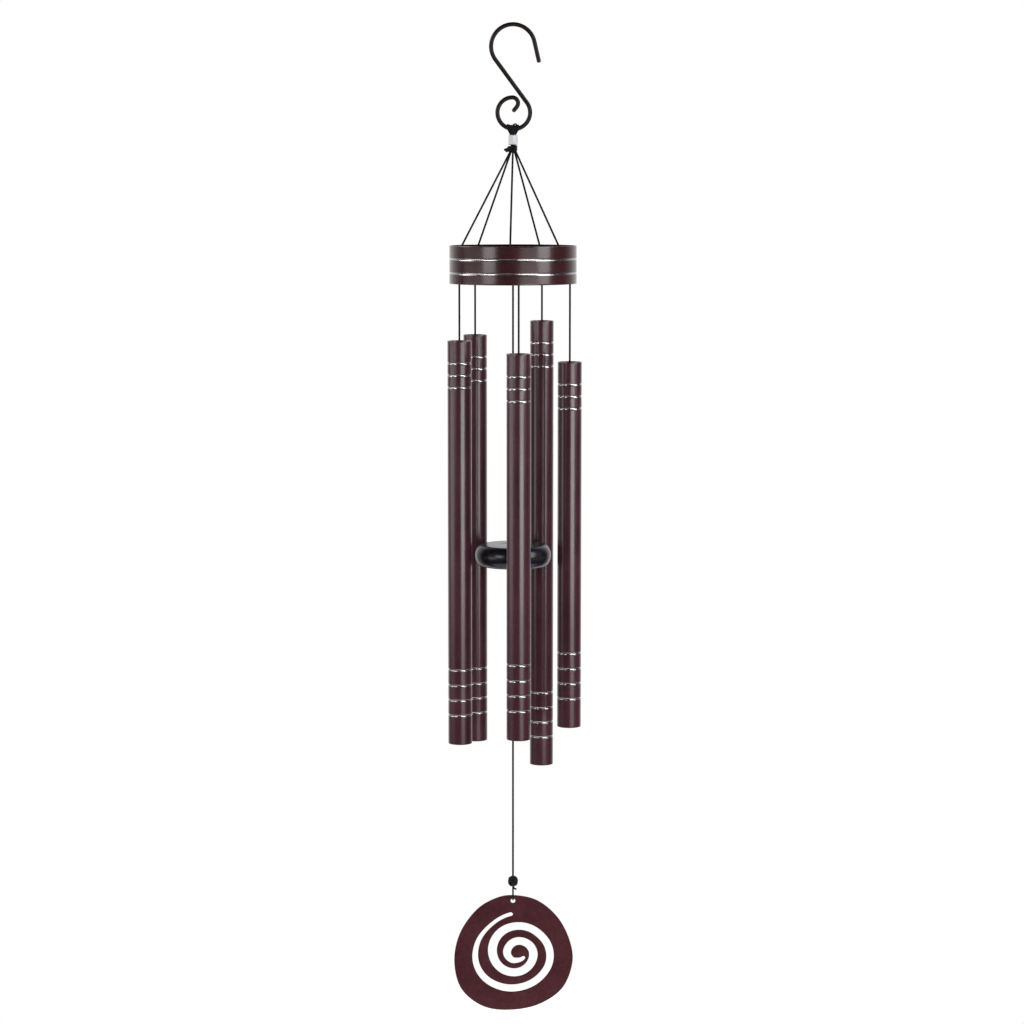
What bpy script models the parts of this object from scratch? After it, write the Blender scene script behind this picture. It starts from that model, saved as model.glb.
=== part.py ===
"""A hanging wind chime: an S-hook, a fan of cords, a hoop with a support plate, five grooved tubes,
a round striker and a flat sail with a spiral cut-out.

All lengths are in metres. The origin is the highest point inside the hook's bend, where a branch
or a bracket carries the chime. +Z is up, and the hook and the sail face -Y.
"""

import math

import bmesh
import bpy
from mathutils import Matrix, Vector

GAP = 0.0003

# Hook, bent from one length of round wire in the XZ plane. Radii are to the wire's centreline.
WIRE = 0.0045
BEND_RADIUS = 0.0230
BEND_CENTRE = Vector((0.0, 0.0, WIRE / 2 - BEND_RADIUS))
BEND_START_DEG = 13
TIP_LENGTH = 0.0209
EYE_RADIUS = 0.0172
EYE_CENTRE = Vector((0.0008, 0.0, -0.0894))
EYE_UPPER_RADIUS = 0.0158
CURL_RADIUS = 0.0060
CURL_TURN_DEG = 130
CURL_END = 0.0050

# Cord, and the turns of it that are lashed round the eye's lowest wire
CORD = 0.0020
LASHING_TURNS = 5
LASHING_PITCH = 0.0027
LASHING_RADIUS = WIRE / 2 + 0.0006 + CORD / 2
EYE_BOTTOM_Z = EYE_CENTRE.z - EYE_RADIUS

# Neck: the bundle of cords, the white sleeve round it and the knot that gathers them
BUNDLE_TOP_Z = -0.1120
BUNDLE_RADIUS = 0.0027
SLEEVE_TOP_Z = -0.1127
SLEEVE_BOTTOM_Z = -0.1229
SLEEVE_RADIUS = 0.0050
SLEEVE_WALL = 0.0018
GATHER_CENTRE_Z = -0.1271
GATHER_SIZE = (0.0060, 0.0050, 0.0038)

# Hoop, with two grooves turned through its coating, and the plate that it sits on
HOOP_TOP_Z = -0.2285
HOOP_HEIGHT = 0.0400
HOOP_RADIUS = 0.0673
HOOP_WALL = 0.0020
HOOP_GROOVES = (0.0140, 0.0288)
SHOULDER_THICKNESS = 0.0012
SHOULDER_DEPTH = 0.0009
PLATE_TOP_Z = HOOP_TOP_Z - 0.0100
PLATE_THICKNESS = 0.0050
PLATE_BOTTOM_Z = PLATE_TOP_Z - PLATE_THICKNESS
PLATE_RADIUS = HOOP_RADIUS - HOOP_WALL - 0.0004
HOLE_RADIUS = 0.0015

# The fan cords have holes of their own, inside the tubes' circle and clear of the tubes' knots.
# Each row is x and y.
FAN_HOLES = (
    (-0.0032, -0.0570),
    (0.0520, -0.0195),
    (0.0308, 0.0450),
    (-0.0401, 0.0385),
    (-0.0583, -0.0170),
)
FAN_KNOT_RADIUS = 0.0026
FAN_START_RADIUS = 0.0036

# Five tubes on one circle. Each row is a length, and the height of the tube's top.
TUBE_CIRCLE = 0.0615
FIRST_TUBE_DEG = 5.5
TUBES = (
    (0.4070, -0.3394),
    (0.3910, -0.3506),
    (0.4860, -0.3102),
    (0.4430, -0.3250),
    (0.4300, -0.3278),
)
TUBE_RADIUS = 0.0127
TUBE_WALL = 0.0016
NODE_SHARE = 0.2242  # where a free tube stands still as it rings, as a share of its length
GROOVE_WIDTH = 0.0020
GROOVE_DEPTH = 0.00035
TOP_GROOVES = (0.0235, 0.0362, 0.0490)
BOTTOM_GROOVES = (0.0803, 0.0637, 0.0477, 0.0313)
PIN_RADIUS = 0.0016
PIN_LENGTH = 0.0250
TUBE_HOLE_RADIUS = 0.0018
STOP_KNOT_RADIUS = 0.0024

# Striker: a disc with rounded edges on the centre cord
STRIKER_TOP_Z = -0.5468
STRIKER_THICKNESS = 0.0230
STRIKER_RADIUS = 0.0405
STRIKER_EDGE = 0.0080
STRIKER_KNOT_RADIUS = 0.0032
STRIKER_KNOT_Z = STRIKER_TOP_Z - STRIKER_THICKNESS - GAP - STRIKER_KNOT_RADIUS

# Sail, cut from flat sheet, and what it hangs on
BALL_KNOT_Z = -0.9152
BALL_KNOT_RADIUS = 0.0059
SAIL_CENTRE_Z = -0.9942
SAIL_THICKNESS = 0.0025
SAIL_HOLE_Z = -0.9370
SAIL_HOLE_RADIUS = 0.0026
SAIL_LOOP_CORD = 0.0015
SAIL_LOOP_TOP_Z = -0.9224
SAIL_LOOP_BOTTOM_Z = SAIL_HOLE_Z + SAIL_HOLE_RADIUS - 0.00035 - SAIL_LOOP_CORD / 2
SAIL_LOOP_HALF_DEPTH = 0.0042

# The sail's outline in millimetres from its centre, clockwise from the top: a hand-cut pebble
SAIL_OUTLINE = (
    (0, 63.3), (26, 57.7), (48, 39.4), (61.4, 13.8), (64.6, -12.2), (52.6, -41.2), (24.6, -59.4),
    (-10.1, -64.4), (-36.4, -58.4), (-57.1, -39.2), (-63.9, -9), (-57.6, 21.2), (-40, 46.7),
    (-19.7, 59.6),
)
# The spiral's centreline and width in millimetres, from its outer end to its inner end, and the
# point that its turns go round
SPIRAL = (
    (-2.3, 42.3, 4.4), (-24.0, 30.2, 4.2), (-38.2, 11.4, 5.2), (-40.4, -11.0, 6.6),
    (-31.2, -28.2, 7.6), (-11.8, -38.9, 8.2), (9.7, -38.7, 8.3), (28.6, -28.6, 8.1),
    (39.6, -11.0, 8.0), (38.6, 6.2, 8.3), (28.0, 20.7, 8.6), (6.9, 29.1, 8.8),
    (-14.4, 21.0, 9.4), (-22.4, 1.9, 9.6), (-14.0, -16.9, 9.5), (2.5, -22.6, 9.4),
    (18.9, -13.0, 9.2), (21.9, 0.4, 9.2), (12.6, 11.2, 9.0), (-2.2, 8.8, 8.8),
    (-6.4, -1.4, 8.4), (-1.0, -8.6, 7.2), (5.2, -9.0, 5.8), (11.2, -6.3, 4.2),
)
SPIRAL_MIDDLE = (6.6, 0.4)

TUBE_STEPS = 20
HOOP_STEPS = 40
PLAIN_STEPS = 32
CUTTER_STEPS = 12
MERGE = 0.00001


# Scene, collections and materials

def clear_scene():
    for old in list(bpy.data.objects):
        bpy.data.objects.remove(old, do_unlink=True)


def new_collection(name):
    collection = bpy.data.collections.new(name)
    bpy.context.scene.collection.children.link(collection)
    return collection


clear_scene()
PARTS = new_collection("wind_chime")
CUTTERS = new_collection("cutters")


def material(name, colour, roughness, metallic=0.0):
    made = bpy.data.materials.new(name)
    made.use_nodes = True
    shader = made.node_tree.nodes["Principled BSDF"]
    shader.inputs["Base Color"].default_value = (*colour, 1.0)
    shader.inputs["Roughness"].default_value = roughness
    shader.inputs["Metallic"].default_value = metallic
    return made


DARK_WIRE = material("dark_wire", (0.030, 0.013, 0.012), 0.35, 0.6)
MAHOGANY = material("mahogany_coating", (0.070, 0.026, 0.032), 0.35, 0.3)
BLACK_CORD = material("black_cord", (0.012, 0.012, 0.013), 0.8)
WHITE_SLEEVE = material("white_sleeve", (0.80, 0.79, 0.80), 0.5)
BLACK_LACQUER = material("black_lacquer", (0.010, 0.010, 0.012), 0.15)
DARK_BOARD = material("dark_board", (0.045, 0.022, 0.022), 0.6)
STEEL = material("steel", (0.55, 0.55, 0.55), 0.3, 1.0)


# Ways of making a piece

def place(piece, surface, location=(0, 0, 0), parent=None):
    """Give a new object its material, its place in the world and the empty that it moves with."""
    piece.data.materials.clear()
    piece.data.materials.append(surface)
    PARTS.objects.link(piece)
    piece.location = location
    if parent is not None:
        piece.parent = parent
        piece.matrix_parent_inverse = Matrix.Translation(parent.location).inverted()
    return piece


def pivot(name, location):
    """An empty on a joint's axis."""
    empty = bpy.data.objects.new(name, None)
    empty.empty_display_size = 0.01
    PARTS.objects.link(empty)
    empty.location = location
    return empty


def rod(name, points, diameter, resolution=2):
    """A round wire or cord along a route, with filled caps."""
    curve = bpy.data.curves.new(name, "CURVE")
    curve.dimensions = "3D"
    curve.bevel_depth = diameter / 2
    curve.bevel_resolution = resolution
    curve.use_fill_caps = True
    line = curve.splines.new("POLY")
    line.points.add(len(points) - 1)
    for target, point in zip(line.points, points):
        target.co = (*point, 1.0)
    return bpy.data.objects.new(name, curve)


def turned(name, profile, steps, closed=True):
    """A turned shape. The profile's (radius, height) points run down the outer side first."""
    mesh = bpy.data.meshes.new(name)
    edges = [(i, i + 1) for i in range(len(profile) - 1)]
    if closed:
        edges.append((len(profile) - 1, 0))
    mesh.from_pydata([(radius, 0, height) for radius, height in profile], edges, [])
    piece = bpy.data.objects.new(name, mesh)
    screw = piece.modifiers.new("turn", "SCREW")
    screw.steps = steps
    screw.render_steps = steps
    screw.use_merge_vertices = True
    screw.merge_threshold = MERGE
    screw.use_smooth_shade = True
    return piece


def ball(name, radii, columns=10, rows=7):
    """A ball, or an egg with its own radius along each axis."""
    mesh = bpy.data.meshes.new(name)
    shape = bmesh.new()
    bmesh.ops.create_uvsphere(shape, u_segments=columns, v_segments=rows, radius=1.0)
    bmesh.ops.scale(shape, vec=radii, verts=shape.verts)
    shape.to_mesh(mesh)
    shape.free()
    mesh.shade_smooth()
    return bpy.data.objects.new(name, mesh)


def cylinder_mesh(name, radius, length, axis, steps=CUTTER_STEPS):
    """A solid cylinder centred on the origin, along X or Z."""
    mesh = bpy.data.meshes.new(name)
    shape = bmesh.new()
    bmesh.ops.create_cone(
        shape, cap_ends=True, segments=steps, radius1=radius, radius2=radius, depth=length
    )
    if axis == "X":
        bmesh.ops.rotate(shape, matrix=Matrix.Rotation(math.pi / 2, 3, "Y"), verts=shape.verts)
    shape.to_mesh(mesh)
    shape.free()
    mesh.shade_smooth()
    mesh.set_sharp_from_angle(angle=math.radians(40))
    return mesh


def drill(piece, name, radius, length, axis, location):
    """Cut a round hole in a piece."""
    cutter = bpy.data.objects.new(name, cylinder_mesh(name, radius, length, axis))
    CUTTERS.objects.link(cutter)
    cutter.location = location
    cutter.hide_render = True
    cutter.display_type = "WIRE"
    cut = piece.modifiers.new(name, "BOOLEAN")
    cut.operation = "DIFFERENCE"
    cut.solver = "EXACT"
    cut.object = cutter


# Shapes that follow a rule

def arc(centre, radius, start_deg, end_deg, step_deg):
    """Points of an arc in the XZ plane, both ends included."""
    count = max(2, round(abs(end_deg - start_deg) / step_deg))
    angles = [math.radians(start_deg + (end_deg - start_deg) * i / count) for i in range(count + 1)]
    return [centre + radius * Vector((math.cos(a), 0, math.sin(a))) for a in angles]


def heading(angle_deg):
    return Vector((math.cos(math.radians(angle_deg)), 0, math.sin(math.radians(angle_deg))))


def hook_route():
    """Tip, bend, straight shank on the common tangent, eye, and the curl that closes the eye."""
    between = EYE_CENTRE - BEND_CENTRE
    lean = math.asin((BEND_RADIUS + EYE_RADIUS) / between.length)
    shank_deg = math.degrees(math.atan2(between.z, between.x) + lean)
    bend = arc(BEND_CENTRE, BEND_RADIUS, BEND_START_DEG, shank_deg - 90 + 360, 12)
    tip = bend[0] - TIP_LENGTH * heading(BEND_START_DEG + 90)
    eye = arc(EYE_CENTRE, EYE_RADIUS, shank_deg + 90, -180, 13)
    upper_centre = EYE_CENTRE + Vector((EYE_UPPER_RADIUS - EYE_RADIUS, 0, 0))
    upper = arc(upper_centre, EYE_UPPER_RADIUS, 180, 90, 15)
    curl_centre = upper_centre + Vector((0, 0, EYE_UPPER_RADIUS - CURL_RADIUS))
    curl = arc(curl_centre, CURL_RADIUS, 90, 90 - CURL_TURN_DEG, 22)
    end = curl[-1] + CURL_END * heading(-CURL_TURN_DEG)
    return [tip, *bend, *eye, *upper[1:], *curl[1:], end]


def lashing_route():
    """A helix round the eye's lowest wire, which follows the wire's own bend."""
    steps_per_turn = 12
    count = round(LASHING_TURNS * steps_per_turn)
    points = []
    for i in range(count + 1):
        turn = i / steps_per_turn
        along = (turn - LASHING_TURNS / 2) * LASHING_PITCH / EYE_RADIUS
        outward = Vector((math.sin(along), 0, -math.cos(along)))
        angle = 2 * math.pi * turn
        distance = EYE_RADIUS - LASHING_RADIUS * math.cos(angle)
        points.append(Vector((0, LASHING_RADIUS * math.sin(angle), EYE_CENTRE.z)) + distance * outward)
    return points


def grooved(top, bottom, radius, grooves):
    """The outer side of a turned profile, top to bottom, with square grooves at these heights."""
    side = [(radius, top)]
    for centre in grooves:
        upper = centre + GROOVE_WIDTH / 2
        lower = centre - GROOVE_WIDTH / 2
        floor = radius - GROOVE_DEPTH
        side += [(radius, upper), (floor, upper), (floor, lower), (radius, lower)]
    return side + [(radius, bottom)]


def smooth_route(points, closed, steps):
    """A Catmull-Rom curve through the points, with this many steps between each two."""
    count = len(points)
    spans = count if closed else count - 1
    route = []
    for i in range(spans):
        if closed:
            near = [Vector(points[(i + k) % count]) for k in (-1, 0, 1, 2)]
        else:
            near = [Vector(points[min(max(i + k, 0), count - 1)]) for k in (-1, 0, 1, 2)]
        a, b, c, d = near
        for s in range(steps):
            t = s / steps
            route.append(0.5 * (
                2 * b + (c - a) * t + (2 * a - 5 * b + 4 * c - d) * t**2
                + (3 * b - a - 3 * c + d) * t**3
            ))
    if not closed:
        route.append(Vector(points[-1]))
    return route


def spiral_route(rows, middle, steps):
    """A smooth route through (x, y, width) rows that turns evenly round its middle."""
    polar, angle = [], -math.inf
    for x, y, width in rows:
        arm = Vector((x, y)) - Vector(middle)
        turned_to = math.atan2(arm.y, arm.x)
        while turned_to < angle:
            turned_to += 2 * math.pi
        angle = turned_to
        polar.append((angle, arm.length, width))
    route = []
    for angle, reach, width in smooth_route(polar, False, steps):
        x, y = middle[0] + reach * math.cos(angle), middle[1] + reach * math.sin(angle)
        route.append(Vector((x, y, width)))
    return route


def slot_outline(route):
    """The closed outline of a slot with round ends, from (x, y, width) points along its middle."""
    left, right = [], []
    for i, point in enumerate(route):
        ahead = route[min(i + 1, len(route) - 1)] - route[max(i - 1, 0)]
        along = Vector((ahead.x, ahead.y)).normalized()
        side = Vector((-along.y, along.x)) * point.z / 2
        left.append(Vector((point.x, point.y)) + side)
        right.append(Vector((point.x, point.y)) - side)

    def cap(start, end, bulge):
        middle = (start + end) / 2
        arm = start - middle
        turns = [math.pi * k / 5 for k in range(1, 5)]
        return [middle + arm * math.cos(t) + bulge * arm.length * math.sin(t) for t in turns]

    first = (route[0] - route[1]).to_2d().normalized()
    last = (route[-1] - route[-2]).to_2d().normalized()
    return left + cap(left[-1], right[-1], last) + right[::-1] + cap(right[0], left[0], first)


# The pieces

def make_hook():
    place(rod("s_hook", hook_route(), WIRE, 3), DARK_WIRE)


def make_neck():
    loop_pivot = pivot("axis_hook_eye", (0, 0, EYE_BOTTOM_Z))
    neck_pivot = pivot("axis_neck", (0, 0, BUNDLE_TOP_Z))
    place(rod("hanging_loop", lashing_route(), CORD), BLACK_CORD, parent=loop_pivot)
    gather_top_z = GATHER_CENTRE_Z + GATHER_SIZE[2]
    bundle = turned("neck_bundle", (
        (0.0, BUNDLE_TOP_Z), (0.0008, BUNDLE_TOP_Z), (0.0021, BUNDLE_TOP_Z - 0.0010),
        (BUNDLE_RADIUS, BUNDLE_TOP_Z - 0.0022), (BUNDLE_RADIUS, gather_top_z + 0.0012),
        (0.0010, gather_top_z + GAP), (0.0, gather_top_z + GAP),
    ), 14, closed=False)
    place(bundle, BLACK_CORD, parent=neck_pivot)
    bore = SLEEVE_RADIUS - SLEEVE_WALL
    sleeve = turned("neck_sleeve", (
        (SLEEVE_RADIUS, SLEEVE_TOP_Z), (SLEEVE_RADIUS, SLEEVE_BOTTOM_Z),
        (bore, SLEEVE_BOTTOM_Z), (bore, SLEEVE_TOP_Z),
    ), 20)
    place(sleeve, WHITE_SLEEVE, parent=neck_pivot)
    head_pivot = pivot("axis_head_twist", (0, 0, GATHER_CENTRE_Z))
    knot = ball("gathering_knot", GATHER_SIZE, 14, 10)
    place(knot, BLACK_CORD, (0, 0, GATHER_CENTRE_Z), head_pivot)
    return head_pivot


def radial(angle_deg, radius, z):
    """A point at this radius from the centre line. Angle 0 is at -Y, and 90 is at +X."""
    angle = math.radians(angle_deg)
    return Vector((radius * math.sin(angle), -radius * math.cos(angle), z))


def tube_angle(number):
    return FIRST_TUBE_DEG + 72 * number


def fan_route(hole):
    """From under the gathering knot, out to a hole in the plate and straight down through it."""
    outward = Vector((*hole, 0)).normalized()
    reach = Vector(hole).length
    places = (
        (FAN_START_RADIUS, GATHER_CENTRE_Z - GATHER_SIZE[2] - GAP),
        (reach - 0.0012, PLATE_TOP_Z + 0.0036),
        (reach - 0.0004, PLATE_TOP_Z + 0.0020),
        (reach, PLATE_TOP_Z + 0.0004),
        (reach, PLATE_BOTTOM_Z),
    )
    return [outward * radius + Vector((0, 0, z)) for radius, z in places]


def make_head(head_pivot):
    fan_knot_z = PLATE_BOTTOM_Z - GAP - FAN_KNOT_RADIUS
    for label, hole in enumerate(FAN_HOLES, 1):
        fan = rod(f"fan_cord_{label}", fan_route(hole), CORD)
        place(fan, BLACK_CORD, parent=head_pivot)
        knot = ball(f"fan_knot_{label}", (FAN_KNOT_RADIUS,) * 3)
        place(knot, BLACK_CORD, (*hole, fan_knot_z), head_pivot)

    bottom_z = HOOP_TOP_Z - HOOP_HEIGHT
    inner = HOOP_RADIUS - HOOP_WALL
    shoulder_z = PLATE_TOP_Z + GAP
    grooves = [HOOP_TOP_Z - depth for depth in HOOP_GROOVES]
    hoop = turned("top_hoop", (
        *grooved(HOOP_TOP_Z, bottom_z, HOOP_RADIUS, grooves),
        (inner, bottom_z),
        (inner, shoulder_z),
        (inner - SHOULDER_DEPTH, shoulder_z),
        (inner - SHOULDER_DEPTH, shoulder_z + SHOULDER_THICKNESS),
        (inner, shoulder_z + SHOULDER_THICKNESS),
        (inner, HOOP_TOP_Z),
    ), HOOP_STEPS)
    place(hoop, MAHOGANY, parent=head_pivot)

    middle_z = PLATE_TOP_Z - PLATE_THICKNESS / 2
    disc = cylinder_mesh("support_plate", PLATE_RADIUS, PLATE_THICKNESS, "Z", HOOP_STEPS)
    plate = bpy.data.objects.new("support_plate", disc)
    place(plate, DARK_BOARD, (0, 0, middle_z), head_pivot)
    drill(plate, "hole_centre", HOLE_RADIUS, 0.02, "Z", (0, 0, middle_z))
    for number, hole in enumerate(FAN_HOLES):
        centre = radial(tube_angle(number), TUBE_CIRCLE, middle_z)
        drill(plate, f"tube_hole_{number + 1}", TUBE_HOLE_RADIUS, 0.02, "Z", centre)
        drill(plate, f"fan_hole_{number + 1}", HOLE_RADIUS, 0.02, "Z", (*hole, middle_z))


def stop_knot(name):
    """A knot on top of the plate, with its cord down through the hole. Its origin is where the cord
    comes out under the plate."""
    centre = PLATE_THICKNESS + GAP + STOP_KNOT_RADIUS
    profile = [(0.0, centre + STOP_KNOT_RADIUS)]
    for step in range(1, 5):
        angle = math.pi / 2 - math.pi * step / 6
        across = STOP_KNOT_RADIUS * math.cos(angle)
        profile.append((across, centre + STOP_KNOT_RADIUS * math.sin(angle)))
    neck = centre - math.sqrt(STOP_KNOT_RADIUS**2 - (CORD / 2)**2)
    profile += [(CORD / 2, neck), (CORD / 2, 0.0), (0.0, 0.0)]
    return turned(name, profile, 10, closed=False)


def make_tube(number, length, top_z):
    """One tube, its pin and its cord. The cord swings from where it leaves the plate."""
    label = number + 1
    angle = tube_angle(number)
    hang = radial(angle, TUBE_CIRCLE, PLATE_BOTTOM_Z)
    pin_z = top_z - NODE_SHARE * length
    pin_place = radial(angle, TUBE_CIRCLE, pin_z)
    hang_pivot = pivot(f"axis_tube_{label}_swing", hang)
    rock_pivot = pivot(f"axis_tube_{label}_rock", pin_place)

    place(stop_knot(f"stop_knot_{label}"), BLACK_CORD, hang, hang_pivot)

    loop_radius = PIN_RADIUS + GAP + CORD / 2
    loop_mesh = torus_mesh(f"pin_loop_{label}", loop_radius, CORD / 2)
    loop = bpy.data.objects.new(f"pin_loop_{label}", loop_mesh)
    place(loop, BLACK_CORD, pin_place, hang_pivot)

    cord_top = radial(angle, TUBE_CIRCLE, PLATE_BOTTOM_Z - GAP)
    cord_bottom = radial(angle, TUBE_CIRCLE, pin_z + loop_radius + CORD / 2 + GAP)
    cord = rod(f"tube_cord_{label}", (cord_top, cord_bottom), CORD)
    place(cord, BLACK_CORD, parent=hang_pivot)

    # the tube's own origin is on its pin
    top = top_z - pin_z
    bottom = top - length
    bore = TUBE_RADIUS - TUBE_WALL
    grooves = [top - depth for depth in TOP_GROOVES] + [bottom + height for height in BOTTOM_GROOVES]
    tube = turned(f"tube_{label}", (
        *grooved(top, bottom, TUBE_RADIUS, grooves), (bore, bottom), (bore, top),
    ), TUBE_STEPS)
    place(tube, MAHOGANY, pin_place, rock_pivot)
    drill(tube, f"pin_hole_{label}", PIN_RADIUS + GAP, 0.04, "X", pin_place)

    pin_mesh = cylinder_mesh(f"tube_pin_{label}", PIN_RADIUS, PIN_LENGTH, "X")
    pin = bpy.data.objects.new(f"tube_pin_{label}", pin_mesh)
    place(pin, STEEL, pin_place, rock_pivot)


def torus_mesh(name, major, minor):
    """A ring of cord round the X axis."""
    bpy.ops.mesh.primitive_torus_add(
        major_segments=14, minor_segments=6, major_radius=major, minor_radius=minor,
        rotation=(0, math.pi / 2, 0),
    )
    ring = bpy.context.active_object
    mesh = ring.data.copy()
    mesh.transform(ring.matrix_world)
    mesh.name = name
    bpy.data.objects.remove(ring, do_unlink=True)
    mesh.shade_smooth()
    return mesh


def make_striker():
    hang = Vector((0, 0, PLATE_BOTTOM_Z))
    swing_pivot = pivot("axis_striker_swing", hang)
    place(stop_knot("centre_stop_knot"), BLACK_CORD, hang, swing_pivot)
    cord_top = (0, 0, PLATE_BOTTOM_Z - GAP)
    cord_bottom = (0, 0, STRIKER_KNOT_Z + STRIKER_KNOT_RADIUS + GAP)
    place(rod("centre_cord", (cord_top, cord_bottom), CORD), BLACK_CORD, parent=swing_pivot)

    half = STRIKER_THICKNESS / 2
    edge_centre = STRIKER_RADIUS - STRIKER_EDGE
    edge = []
    for step in range(9):
        angle = math.pi / 2 - math.pi * step / 8
        edge.append((edge_centre + STRIKER_EDGE * math.cos(angle), half * math.sin(angle)))
    bore = HOLE_RADIUS + GAP
    striker = turned("striker", (*edge, (bore, -half), (bore, half)), PLAIN_STEPS)
    place(striker, BLACK_LACQUER, (0, 0, STRIKER_TOP_Z - half), swing_pivot)


def make_sail():
    hang = Vector((0, 0, STRIKER_KNOT_Z))
    line_pivot = pivot("axis_sail_line", hang)
    place(ball("striker_knot", (STRIKER_KNOT_RADIUS,) * 3), BLACK_CORD, hang, line_pivot)
    cord_top = (0, 0, STRIKER_KNOT_Z - STRIKER_KNOT_RADIUS - GAP)
    cord_bottom = (0, 0, BALL_KNOT_Z + BALL_KNOT_RADIUS + GAP)
    place(rod("sail_cord", (cord_top, cord_bottom), CORD), BLACK_CORD, parent=line_pivot)
    knot = ball("ball_knot", (BALL_KNOT_RADIUS,) * 3, 14, 10)
    place(knot, BLACK_CORD, (0, 0, BALL_KNOT_Z), line_pivot)

    centre_z = (SAIL_LOOP_TOP_Z + SAIL_LOOP_BOTTOM_Z) / 2
    half_height = (SAIL_LOOP_TOP_Z - SAIL_LOOP_BOTTOM_Z) / 2
    loop_route = []
    for step in range(24):
        angle = 2 * math.pi * step / 24
        y = SAIL_LOOP_HALF_DEPTH * math.cos(angle)
        loop_route.append((0, y, half_height * math.sin(angle)))
    loop = rod("sail_loop", loop_route, SAIL_LOOP_CORD)
    loop.data.splines[0].use_cyclic_u = True
    twist_pivot = pivot("axis_sail_twist", (0, 0, centre_z))
    place(loop, BLACK_CORD, (0, 0, centre_z), twist_pivot)

    curve = bpy.data.curves.new("sail", "CURVE")
    curve.dimensions = "2D"
    curve.fill_mode = "BOTH"
    curve.extrude = SAIL_THICKNESS / 2
    outline = smooth_route([(x, y, 0) for x, y in SAIL_OUTLINE], True, 4)
    slot = slot_outline(spiral_route(SPIRAL, SPIRAL_MIDDLE, 4))
    hole_y = (SAIL_HOLE_Z - SAIL_CENTRE_Z) * 1000
    hole = []
    for step in range(16):
        angle = 2 * math.pi * step / 16
        hole.append((
            SAIL_HOLE_RADIUS * 1000 * math.cos(angle),
            hole_y + SAIL_HOLE_RADIUS * 1000 * math.sin(angle),
        ))
    for points in (outline, slot, hole):
        line = curve.splines.new("POLY")
        line.points.add(len(points) - 1)
        for target, point in zip(line.points, points):
            target.co = (point[0] / 1000, point[1] / 1000, 0, 1)
        line.use_cyclic_u = True
    sail_pivot = pivot("axis_sail_rock", (0, 0, SAIL_HOLE_Z))
    sail = bpy.data.objects.new("sail", curve)
    place(sail, MAHOGANY, (0, 0, SAIL_CENTRE_Z), sail_pivot)
    sail.rotation_euler = (math.pi / 2, 0, 0)


make_hook()
make_head(make_neck())
for index, (tube_length, tube_top_z) in enumerate(TUBES):
    make_tube(index, tube_length, tube_top_z)
make_striker()
make_sail()
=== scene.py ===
"""Looks of the hanging wind chime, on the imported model's frame.

Lengths are in metres, except in the sail's outline and slot, which are in millimetres.
"""

import math

import bmesh
import bpy
from mathutils import Matrix, Vector


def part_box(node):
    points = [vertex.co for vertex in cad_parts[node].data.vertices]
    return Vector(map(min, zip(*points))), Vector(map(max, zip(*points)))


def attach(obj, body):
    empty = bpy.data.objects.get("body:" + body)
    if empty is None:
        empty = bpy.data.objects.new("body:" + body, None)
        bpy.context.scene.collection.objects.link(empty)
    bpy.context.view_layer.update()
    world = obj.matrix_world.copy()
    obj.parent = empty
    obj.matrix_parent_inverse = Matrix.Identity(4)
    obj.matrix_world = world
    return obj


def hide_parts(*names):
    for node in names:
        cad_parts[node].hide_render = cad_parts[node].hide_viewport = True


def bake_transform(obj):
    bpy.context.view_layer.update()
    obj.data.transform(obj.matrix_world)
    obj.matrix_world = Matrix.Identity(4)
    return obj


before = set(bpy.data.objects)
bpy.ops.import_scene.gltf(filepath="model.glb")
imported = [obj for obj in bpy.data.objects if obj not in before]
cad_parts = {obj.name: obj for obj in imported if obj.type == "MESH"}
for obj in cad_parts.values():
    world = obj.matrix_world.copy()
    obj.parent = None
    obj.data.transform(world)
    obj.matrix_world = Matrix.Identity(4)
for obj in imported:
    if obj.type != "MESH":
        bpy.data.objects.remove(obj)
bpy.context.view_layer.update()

# Sizes and places of the part's solids

WIRE = 0.0045
BEND_RADIUS = 0.0230
BEND_CENTRE = Vector((0.0, 0.0, WIRE / 2 - BEND_RADIUS))
BEND_START_DEG = 13
TIP_LENGTH = 0.0209
EYE_RADIUS = 0.0172
EYE_CENTRE = Vector((0.0008, 0.0, -0.0894))
EYE_UPPER_RADIUS = 0.0158
CURL_RADIUS = 0.0060
CURL_TURN_DEG = 130
CURL_END = 0.0050

CORD = 0.0020
FAN_TOP_Z = -0.1312
GATHER_Z = -0.1271
HOOP_GROOVES = (0.0140, 0.0288)
PLATE_TOP_Z = -0.2385
PLATE_BOTTOM_Z = -0.2435
SHOULDER_THICKNESS = 0.0012
SHOULDER_DEPTH = 0.0009
FAN_HOLES = (
    (-0.0032, -0.0570),
    (0.0520, -0.0195),
    (0.0308, 0.0450),
    (-0.0401, 0.0385),
    (-0.0583, -0.0170),
)
TUBE_WALL = 0.0016
HOOP_WALL = 0.0020
GROOVE_WIDTH = 0.0020
GROOVE_DEPTH = 0.00035
TOP_GROOVES = (0.0235, 0.0362, 0.0490)
BOTTOM_GROOVES = (0.0803, 0.0637, 0.0477, 0.0313)
PIN_HOLE_RADIUS = 0.0019
PIN_LOOP_RADIUS = 0.0029
SLEEVE_BORE = 0.0032
STRIKER_EDGE = 0.0080
STRIKER_BORE = 0.0018
SAIL_CENTRE_Z = -0.9942
SAIL_HOLE_Z = -0.9370
SAIL_HOLE_RADIUS = 0.0026
SAIL_LOOP_CORD = 0.0015
SAIL_LOOP_HALVES = (0.0042, 0.00655)
SAIL_LOOP_Z = -0.92895

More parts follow.
